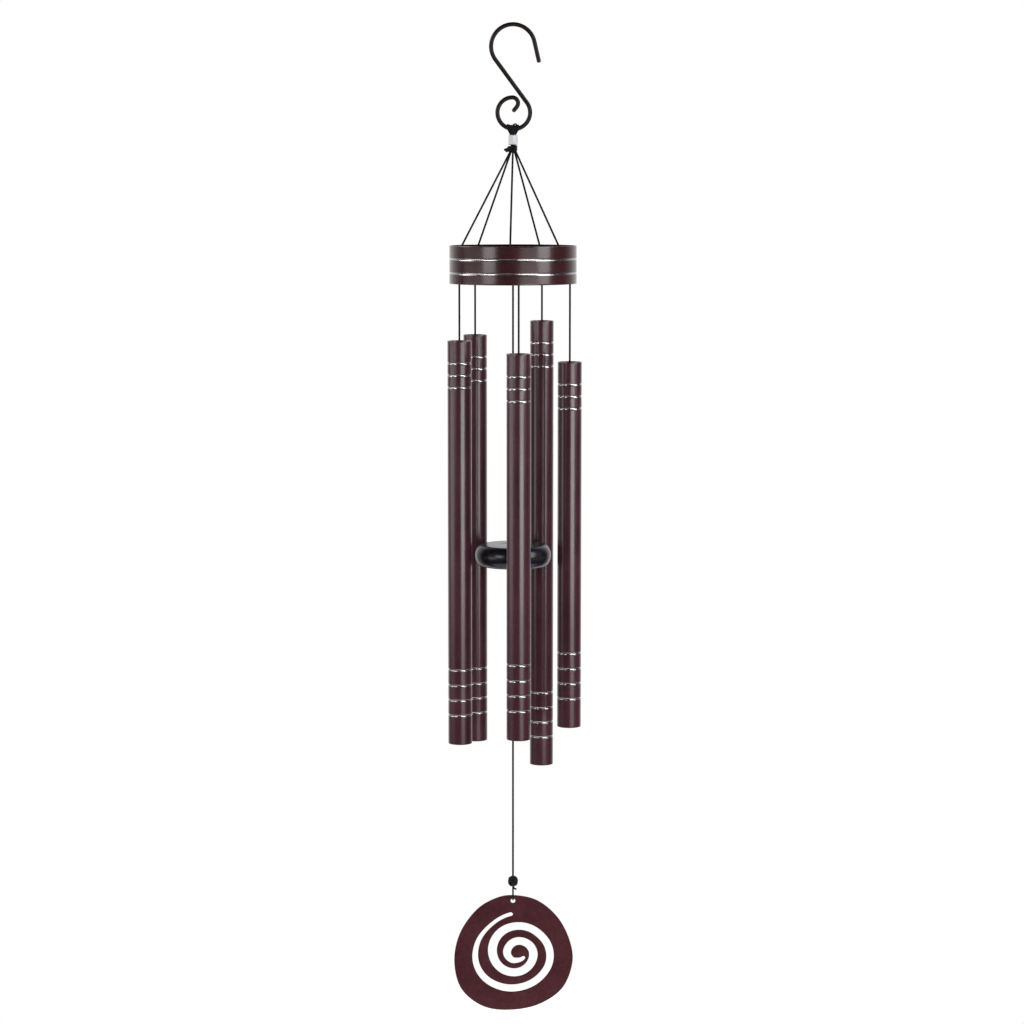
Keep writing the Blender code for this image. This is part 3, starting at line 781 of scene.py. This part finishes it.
def radial(angle_deg, radius, z):
    """A point at this radius from the centre line. Angle 0 is at -Y, and 90 is at +X."""
    angle = math.radians(angle_deg)
    return Vector((radius * math.sin(angle), -radius * math.cos(angle), z))


def woven_ball(centre, size, strand_radius, leads, bights, tall=1.0, turn=0.0):
    """The closed route of a woven knot on a ball. Strands pass over and under by turns."""
    count = 40 * bights
    points = []
    for i in range(count):
        t = 2 * math.pi * i / count
        around = leads * t + turn
        rise = math.radians(62) * math.sin(bights * t)
        depth = size - strand_radius * (1.0 + 0.42 * (1 + math.cos(2 * bights * t + 0.6)))
        points.append(Vector(centre) + depth * Vector((
            math.cos(rise) * math.cos(around), math.cos(rise) * math.sin(around), tall * math.sin(rise),
        )))
    return points


def knot(name, centre, size, strand_radius, leads=2, bights=3, stub=0.0, turn=0.0):
    """A small pulled-tight knot, with the cord's own core through it and perhaps a stub below."""
    centre = Vector(centre)
    strands = StrandMesh(KNOT_SIDES, CORD_RELIEF)
    weave = woven_ball(centre, size, strand_radius, leads, bights, 0.95, turn)
    strands.add(weave, strand_radius, closed=True)
    top = centre + Vector((0, 0, size * KNOT_CORE))
    bottom = centre - Vector((0, 0, size * KNOT_CORE + stub))
    strands.add(resampled([top, bottom], CORD_STEP), CORD / 2)
    return strands.make(name, BRAID)


def plate_knot(name, body, node, turn):
    """A knot that sits on the plate, with its cord down through the plate's hole."""
    low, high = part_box(node)
    size = (high[0] - low[0]) / 2
    centre = Vector(((low[0] + high[0]) / 2, (low[1] + high[1]) / 2, high[2] - size))
    stub = centre.z - PLATE_BOTTOM_Z - size * KNOT_CORE
    piece = knot(name, centre, size, PLATE_KNOT_STRAND, stub=stub, turn=turn)
    finish_piece(piece, body, "black_cord", node)


# Cords

def make_cord(name, route, body, length):
    """A taut cord in place of the CAD node of the same name."""
    strand = StrandMesh(16, CORD_RELIEF)
    strand.add(resampled(route, CORD_STEP), CORD / 2 * CORD_FULLNESS)
    piece = finish_piece(strand.make(name, BRAID), body, "black_cord", name)
    piece.name = f"{name}_braid"
    [tuple(p) for p in resampled(route, length / PATH_SPANS)]


def route_length(points):
    return sum((b - a).length for a, b in zip(points, points[1:]))


for label, hole in enumerate(FAN_HOLES, 1):
    outward, reach = Vector((*hole, 0)).normalized(), Vector(hole).length
    places = (
        (0.0026, FAN_TOP_Z + 0.0032), (0.0036, FAN_TOP_Z), (reach - 0.0012, PLATE_TOP_Z + 0.0036),
        (reach - 0.0004, PLATE_TOP_Z + 0.0020), (reach, PLATE_TOP_Z + 0.0004), (reach, PLATE_BOTTOM_Z),
    )
    corners = [outward * radius + Vector((0, 0, z)) for radius, z in places]
    fan = relaxed(resampled(corners, CORD_STEP), 14)
    make_cord(f"fan_cord_{label}", fan, "head", route_length(fan))

pins = [middle_of(f"tube_pin_{label}")[0] for label in range(1, 6)]
for label, pin in enumerate(pins, 1):
    hang = [
        Vector((pin.x, pin.y, PLATE_BOTTOM_Z + CORD_TUCK)), Vector((pin.x, pin.y, pin.z + TUBE_CORD_END)),
    ]
    make_cord(f"tube_cord_{label}", hang, f"tube_line_{label}", route_length(hang))

centre_line = [Vector((0, 0, PLATE_BOTTOM_Z + CORD_TUCK)), Vector((0, 0, CENTRE_CORD_END_Z))]
make_cord("centre_cord", centre_line, "striker_line", route_length(centre_line))

ball_centre, ball_size = middle_of("ball_knot")
ball = StrandMesh(KNOT_SIDES, CORD_RELIEF)
for grow, thick, leads, bights, tall, turn in (
    (0.0005, 0.00115, 3, 5, 0.94, 0.0),
    (-0.0004, 0.0013, 2, 3, 0.92, 0.7),
    (-0.0022, 0.0013, 3, 4, 0.92, 0.2),
):
    layer = woven_ball(ball_centre, ball_size + grow, thick, leads, bights, tall, turn)
    ball.add(layer, thick, closed=True)
core = [ball_centre + Vector((0, 0, 0.005)), ball_centre - Vector((0, 0, 0.0062))]
ball.add(resampled(core, CORD_STEP), CORD / 2)
tail = (
    (0.0, -0.0020, -0.0040), (0.0006, -0.0028, -0.0062),
    (0.0018, -0.0030, -0.0076), (0.0034, -0.0030, -0.0082),
)
ball.add(smooth_route([ball_centre + Vector(p) for p in tail], False, 8), CORD / 2)
ball_piece = finish_piece(ball.make("ball_knot_cord", BRAID), "sail_line", "black_cord", "ball_knot")

sail_line = [Vector((0, 0, SAIL_CORD_TOP_Z)), Vector((0, 0, SAIL_CORD_END_Z))]
make_cord("sail_cord", sail_line, "sail_line", route_length(sail_line))


# Hook and neck

def hook_wear(point):
    """The wire is rubbed where it hangs on its support and at its two ends."""
    at_bend = max(0.0, 1.0 - abs(point.x) / HOOK_BEARING) if point.z > -0.004 else 0.0
    at_tip = 0.8 if (point - hook_points[0]).length < HOOK_WORN_END else 0.0
    at_end = 0.8 if (point - hook_points[-1]).length < HOOK_WORN_END else 0.0
    return max(at_bend * 0.75, at_tip, at_end)


hook_points = hook_route()
hook = StrandMesh(28, 0.0).add(hook_points, WIRE / 2, blunt=0.75, wear=hook_wear)
finish_piece(hook.make("hook_wire", HOOK_PAINT), "hook", "hook_steel", "s_hook")


def neck_loop(offset, seat, lift):
    """One turn of the lashing: up from the bundle in front, over the wire, and down behind it."""
    height = math.sqrt(EYE_RADIUS**2 - (offset - EYE_CENTRE.x)**2)
    wire_z = EYE_CENTRE.z - height
    round_wire = WIRE / 2 + CORD / 2 + LASHING_GAP + lift
    across = seat * BUNDLE_RING
    deep = math.sqrt(max(BUNDLE_RING**2 - across**2, 0.0)) + 0.0001
    over = []
    for step in range(13):
        angle = math.radians(-105 + 210 * step / 12)
        over.append(Vector((offset, round_wire * math.sin(angle), wire_z + round_wire * math.cos(angle))))
    legs = []
    for sign in (-1, 1):
        legs.append([
            Vector((across, sign * deep, -0.1246)), Vector((across, sign * deep, -0.1180)),
            Vector((across * 1.05, sign * (deep + 0.0001), -0.1132)),
            Vector((across * 0.8 + offset * 0.32, sign * (deep + 0.0008), -0.1108)),
        ])
    return relaxed(resampled(legs[0] + over + legs[1][::-1], CORD_STEP), 6)


neck = StrandMesh(14, CORD_RELIEF)
for offset, seat, lift in LASHING_PLACES:
    neck.add(neck_loop(offset, seat, lift), CORD / 2)
slack = (
    (-0.0016, -0.0030, -0.1068), (-0.0006, -0.0026, -0.1036), (0.0012, -0.0010, -0.1016),
    (0.0030, 0.0008, -0.1014), (0.0046, 0.0026, -0.1034), (0.0052, 0.0040, -0.1062),
)
neck.add(smooth_route(slack, False, 10), SLACK_RADIUS)
neck_piece = finish_piece(neck.make("neck_cords", BRAID), None, "black_cord", "hanging_loop", "neck_bundle")
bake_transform(neck_piece)

low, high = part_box("neck_sleeve")
sleeve_top, sleeve_bottom, sleeve_radius = high[2], low[2], high[0]


def crease(angle, height):
    """The sleeve's uneven girth where it has shrunk on to the cords."""
    wave = math.sin(3 * angle + 420 * height) * 0.020 + math.sin(7 * angle - 700 * height) * 0.008
    return 1.0 + wave


sleeve_rows = [
    (SLEEVE_BORE + RIM, sleeve_top, 0, 1.0), (sleeve_radius - SLEEVE_ROLL, sleeve_top, 0, 1.0),
]
for step in range(13):
    share = step / 12
    bulge = 0.0001 * math.sin(math.pi * share)
    height = sleeve_top - RIM - (sleeve_top - sleeve_bottom - 2 * RIM) * share
    sleeve_rows.append((sleeve_radius - 0.0001 + bulge, height, 0, 0.8 if step in (0, 12) else 0.0))
sleeve_rows += [
    (sleeve_radius - SLEEVE_ROLL, sleeve_bottom, 0, 1.0), (SLEEVE_BORE + RIM, sleeve_bottom, 0, 1.0),
    (SLEEVE_BORE, sleeve_bottom + RIM, 0, 0.5), (SLEEVE_BORE, sleeve_top - RIM, 0, 0.5),
]
sleeve = turned("sleeve_wrap", sleeve_rows, 48, [SLEEVE], uneven=crease)
finish_piece(sleeve, "neck", "white_sleeve", "neck_sleeve")

gather = StrandMesh(KNOT_SIDES, CORD_RELIEF)
wraps = []
for step in range(91):
    turn = step / 90 * GATHER_TURNS
    angle = 2 * math.pi * turn
    wraps.append(Vector((
        0.0043 * math.cos(angle) - 0.0006, 0.0037 * math.sin(angle), GATHER_Z + 0.0027 - 0.0019 * turn,
    )))
gather.add(wraps, GATHER_WRAP_STRAND)
for across, drop, size, leads, bights, tall, turn in (
    (-0.0003, 0.0, 0.0040, 2, 3, 0.95, 0.4),
    (0.0, 0.0012, 0.0036, 3, 4, 0.9, 0.1),
):
    layer = woven_ball((across, 0, GATHER_Z - drop), size, GATHER_STRAND, leads, bights, tall, turn)
    gather.add(layer, GATHER_STRAND, closed=True)
core = [Vector((0, 0, GATHER_Z + 0.0034)), Vector((0, 0, GATHER_Z - 0.0044))]
gather.add(resampled(core, CORD_STEP), GATHER_STRAND)
for thick, places in GATHER_TAILS:
    tail = [Vector(place) + Vector((0, 0, GATHER_Z)) for place in places]
    gather.add(smooth_route(tail, False, 8), thick)
finish_piece(gather.make("gathering_wraps", BRAID), "head", "black_cord", "gathering_knot")


# Hoop and plate

low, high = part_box("top_hoop")
hoop_top, hoop_bottom, hoop_outer = high[2], low[2], high[0]
hoop_inner = hoop_outer - HOOP_WALL
shoulder_z = PLATE_TOP_Z + 0.0003
shoulder = [
    (hoop_inner, shoulder_z, 0, 0.0), (hoop_inner - SHOULDER_DEPTH, shoulder_z, 0, 0.5),
    (hoop_inner - SHOULDER_DEPTH, shoulder_z + SHOULDER_THICKNESS, 0, 0.5),
    (hoop_inner, shoulder_z + SHOULDER_THICKNESS, 0, 0.0),
]
grooves = [hoop_top - depth for depth in HOOP_GROOVES]
hoop_rows = []
for radius, height, mark, wear in grooved_wall(
    hoop_outer, hoop_inner, hoop_top, hoop_bottom, grooves, shoulder,
):
    # Rows on the hoop's inner wall take the near-black coat, which is painted shade.
    inside = radius < hoop_inner + 0.0001
    hoop_rows.append((radius, height, 2 if inside else mark, wear))
# The hoop's outer wall takes the darker hoop coat, which is painted shade.
hoop = turned("grooved_hoop", hoop_rows, 144, [PAINTED_SHADE_HOOP_COAT, BARE, PAINTED_SHADE_INSIDE_COAT])
finish_piece(hoop, "head", "coated_aluminium", "top_hoop")

for label in range(1, 6):
    centre, size = middle_of(f"fan_knot_{label}")
    piece = knot(f"fan_end_{label}", centre, size, FAN_KNOT_STRAND, turn=label)
    finish_piece(piece, "head", "black_cord", f"fan_knot_{label}")


# Tubes, each with the knot that it hangs from

def bored(piece, centre, radius):
    """Cut a hole along X through both of a tube's walls."""
    mesh = bpy.data.meshes.new("bore")
    shape = bmesh.new()
    bmesh.ops.create_cone(shape, cap_ends=True, segments=24, radius1=radius, radius2=radius, depth=0.04)
    bmesh.ops.rotate(shape, matrix=Matrix.Rotation(math.pi / 2, 3, "Y"), verts=shape.verts)
    bmesh.ops.translate(shape, vec=centre, verts=shape.verts)
    shape.to_mesh(mesh)
    shape.free()
    cutter = bpy.data.objects.new("bore", mesh)
    bpy.context.scene.collection.objects.link(cutter)
    bpy.context.scene.collection.objects.link(piece)
    cut = piece.modifiers.new("bore", "BOOLEAN")
    cut.operation, cut.solver, cut.object = "DIFFERENCE", "EXACT", cutter
    graph = bpy.context.evaluated_depsgraph_get()
    result = bpy.data.meshes.new_from_object(piece.evaluated_get(graph))
    result.set_sharp_from_angle(angle=math.radians(SHARP_DEG))
    piece.modifiers.clear()
    piece.data = result
    bpy.data.objects.remove(cutter, do_unlink=True)


for label, pin in enumerate(pins, 1):
    low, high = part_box(f"tube_{label}")
    outer = (high[0] - low[0]) / 2
    grooves = [high[2] - depth for depth in TOP_GROOVES] + [low[2] + height for height in BOTTOM_GROOVES]
    rings = [pin.z + distance for distance in BORE_RINGS]
    rows = grooved_wall(outer, outer - TUBE_WALL, high[2], low[2], grooves, rings=rings)
    tube = turned(f"chime_tube_{label}", rows, 80, [TUBE_COAT, BARE], (pin.x, pin.y, 0))
    bored(tube, pin, PIN_HOLE_RADIUS)
    finish_piece(tube, f"tube_body_{label}", "coated_aluminium", f"tube_{label}")

    ring = oval(pin, PIN_LOOP_RADIUS, PIN_LOOP_RADIUS, 48)
    loop = StrandMesh(KNOT_SIDES, CORD_RELIEF).add(ring, CORD / 2, closed=True)
    hitch = resampled([pin, pin + Vector((0, 0, PIN_HITCH_LENGTH))], CORD_STEP)
    loop.add([point + Vector((0, 0, PIN_HITCH_Z)) for point in hitch], PIN_HITCH_RADIUS)
    piece = loop.make(f"pin_hitch_{label}", BRAID)
    finish_piece(piece, f"tube_line_{label}", "black_cord", f"pin_loop_{label}")

    plate_knot(f"plate_knot_{label}", f"tube_hanger_{label}", f"stop_knot_{label}", label)


# Striker

plate_knot("centre_knot", "striker_hanger", "centre_stop_knot", 2.5)

low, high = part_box("striker")
middle, half = (low[2] + high[2]) / 2, (high[2] - low[2]) / 2
edge_centre = high[0] - STRIKER_EDGE
flat = edge_centre * 0.55
striker_rows = [(STRIKER_BORE + STRIKER_RIM, middle + half, 0, 0.0), (flat, middle + half, 0, 0.0)]
for step in range(33):
    angle = math.pi / 2 - math.pi * step / 32
    rub = max(0.0, math.cos(angle)) ** 6 * 0.9
    striker_rows.append((
        edge_centre + STRIKER_EDGE * math.cos(angle), middle + half * math.sin(angle), 0, rub,
    ))
striker_rows += [
    (flat, middle - half, 0, 0.0), (STRIKER_BORE + STRIKER_RIM, middle - half, 0, 0.6),
    (STRIKER_BORE, middle - half + STRIKER_RIM, 0, 0.6), (STRIKER_BORE, middle + half - STRIKER_RIM, 0, 0.6),
]
striker = turned("striker_disc", striker_rows, 128, [LACQUER])
finish_piece(striker, "striker_line", "lacquered_wood", "striker")

centre, size = middle_of("striker_knot")
piece = knot("striker_rest", centre, size, STRIKER_KNOT_STRAND, turn=0.5)
finish_piece(piece, "sail_hanger", "black_cord", "striker_knot")


# Sail

ring = oval(Vector((0, 0, SAIL_LOOP_Z)), *SAIL_LOOP_HALVES, 96)
loop = StrandMesh(KNOT_SIDES, CORD_RELIEF)
loop.add(ring, SAIL_LOOP_CORD / 2 * SAIL_LOOP_FULLNESS, closed=True)
finish_piece(loop.make("sail_loop_cord", BRAID), "sail_ring", "black_cord", "sail_loop")


def slot_outline(route):
    """The closed outline of a slot with round ends, from (x, y, width) points along its middle."""
    left, right = [], []
    for i, point in enumerate(route):
        ahead = route[min(i + 1, len(route) - 1)] - route[max(i - 1, 0)]
        along = Vector((ahead.x, ahead.y)).normalized()
        side = Vector((-along.y, along.x)) * point.z / 2
        left.append(Vector((point.x, point.y)) + side)
        right.append(Vector((point.x, point.y)) - side)

    def cap(start, end, bulge):
        """A half circle from one side of the slot to the other, out along bulge."""
        centre = (start + end) / 2
        arm = start - centre
        turns = [math.pi * k / 10 for k in range(1, 10)]
        return [centre + arm * math.cos(t) + bulge * arm.length * math.sin(t) for t in turns]

    first = (route[0] - route[1]).to_2d().normalized()
    last = (route[-1] - route[-2]).to_2d().normalized()
    return left + cap(left[-1], right[-1], last) + right[::-1] + cap(right[0], left[0], first)


def sail_sheet():
    """The sail's sheet with its cut edges just broken, upright in the XZ plane."""
    low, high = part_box("sail")
    thickness = high[1] - low[1]
    hole_y = (SAIL_HOLE_Z - SAIL_CENTRE_Z) * MM_PER_M
    radius = SAIL_HOLE_RADIUS * MM_PER_M
    hole = []
    for step in range(32):
        angle = 2 * math.pi * step / 32
        hole.append((radius * math.cos(angle), hole_y + radius * math.sin(angle)))
    outline = smooth_route([(x, y, 0) for x, y in SAIL_OUTLINE], True, 10)
    slot = slot_outline(spiral_route(SPIRAL, SPIRAL_MIDDLE, 8))
    curve = bpy.data.curves.new("sail_cut", "CURVE")
    curve.dimensions = "2D"
    curve.fill_mode = "BOTH"
    curve.extrude = thickness / 2 - SAIL_BEVEL
    curve.bevel_depth = SAIL_BEVEL
    curve.bevel_resolution = 2
    curve.offset = -SAIL_BEVEL
    for points in (outline, slot, hole):
        line = curve.splines.new("POLY")
        line.points.add(len(points) - 1)
        for target, point in zip(line.points, points):
            target.co = (point[0] / MM_PER_M, point[1] / MM_PER_M, 0, 1)
        line.use_cyclic_u = True
    cut = bpy.data.objects.new("sail_cut", curve)
    bpy.context.scene.collection.objects.link(cut)
    graph = bpy.context.evaluated_depsgraph_get()
    mesh = bpy.data.meshes.new_from_object(cut.evaluated_get(graph))
    bpy.data.objects.remove(cut, do_unlink=True)
    shape = bmesh.new()
    shape.from_mesh(mesh)
    bmesh.ops.remove_doubles(shape, verts=shape.verts, dist=0.000005)
    bmesh.ops.rotate(shape, matrix=Matrix.Rotation(math.pi / 2, 3, "X"), verts=shape.verts)
    bmesh.ops.translate(shape, vec=(0, 0, SAIL_CENTRE_Z), verts=shape.verts)
    bmesh.ops.recalc_face_normals(shape, faces=shape.faces)
    shape.to_mesh(mesh)
    shape.free()
    face = thickness / 2 - 0.00002
    wear = [0.0 if abs(vertex.co.y) > face else 0.75 for vertex in mesh.vertices]
    set_wear(mesh, wear)
    mesh.materials.clear()
    mesh.materials.append(SAIL_COAT)
    mesh.shade_smooth()
    mesh.set_sharp_from_angle(angle=math.radians(SAIL_SHARP_DEG))
    return bpy.data.objects.new("spiral_sail", mesh)


finish_piece(sail_sheet(), "sail_plate", "coated_aluminium", "sail")


# CAD nodes that stay

def dress(node, surface):
    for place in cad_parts[node].material_slots:
        place.material = surface


dress("support_plate", BOARD)
for label in range(1, 6):
    dress(f"tube_pin_{label}", STEEL)


# Floor and light

def pale_floor():
    """A plain pale floor. A glow of its own keeps it even and white."""
    made, tree, shader = blank("pale_floor")
    place = own_place(tree)
    clouds = noise(tree, place, 3, 4.0)
    colour = ramp(tree, clouds, (0.3, (0.86, 0.85, 0.85)), (0.7, (0.90, 0.89, 0.89)))
    feed(tree, shader.inputs["Base Color"], colour)
    feed(tree, shader.inputs["Roughness"], spread(tree, clouds, 0.3, 0.7, 0.80, 0.95))
    set_plain(shader, Emission_Color=(1.0, 1.0, 1.0, 1.0), Emission_Strength=0.75)
    return made


floor_mesh = bpy.data.meshes.new("floor")
edge = [radial(360 / FLOOR_SIDES * step, FLOOR_RADIUS, 0) for step in range(FLOOR_SIDES)]
floor_mesh.from_pydata(edge, [], [tuple(range(FLOOR_SIDES))])
floor_mesh.materials.append(pale_floor())
floor = bpy.data.objects.new("floor", floor_mesh)
bpy.context.scene.collection.objects.link(floor)
floor.location = (0, 0, FLOOR_Z)


def soft_box(name, azimuth_deg, distance, width, low_z, high_z, radiance):
    """An upright soft light that faces the chime's own axis. Azimuth 0 is at -Y, and 90 at +X."""
    height = high_z - low_z
    data = bpy.data.lights.new(name, "AREA")
    data.shape = "RECTANGLE"
    data.size, data.size_y = width, height
    data.energy = 4 * width * height * radiance
    light = bpy.data.objects.new(name, data)
    bpy.context.scene.collection.objects.link(light)
    light.location = radial(azimuth_deg, distance, (low_z + high_z) / 2)
    inward = -Vector((light.location.x, light.location.y, 0))
    light.rotation_euler = inward.to_track_quat("-Z", "Y").to_euler()
    light.visible_camera = False


for name, azimuth, width, low_z, high_z, radiance in LIGHTS:
    soft_box(f"soft_box_{name}", azimuth, LIGHT_DISTANCE, width, low_z, high_z, radiance)

# The camera sees white. The room that lights the chime is bright behind it and dark in front.
world = bpy.data.worlds.new("studio")
bpy.context.scene.world = world
world.use_nodes = True
studio = world.node_tree
background = studio.nodes["Background"]
direction = studio.nodes.new("ShaderNodeTexCoord").outputs["Generated"]
parts = studio.nodes.new("ShaderNodeSeparateXYZ")
studio.links.new(direction, parts.inputs[0])
room = spread(studio, parts.outputs[1], 0.20, 1.00, 0.03, 0.85)
seen = studio.nodes.new("ShaderNodeLightPath").outputs["Is Camera Ray"]
feed(studio, background.inputs["Strength"], calc(studio, "MAXIMUM", room, seen))
background.inputs["Color"].default_value = (1.0, 1.0, 1.0, 1.0)

bpy.context.scene.view_settings.view_transform = "Standard"
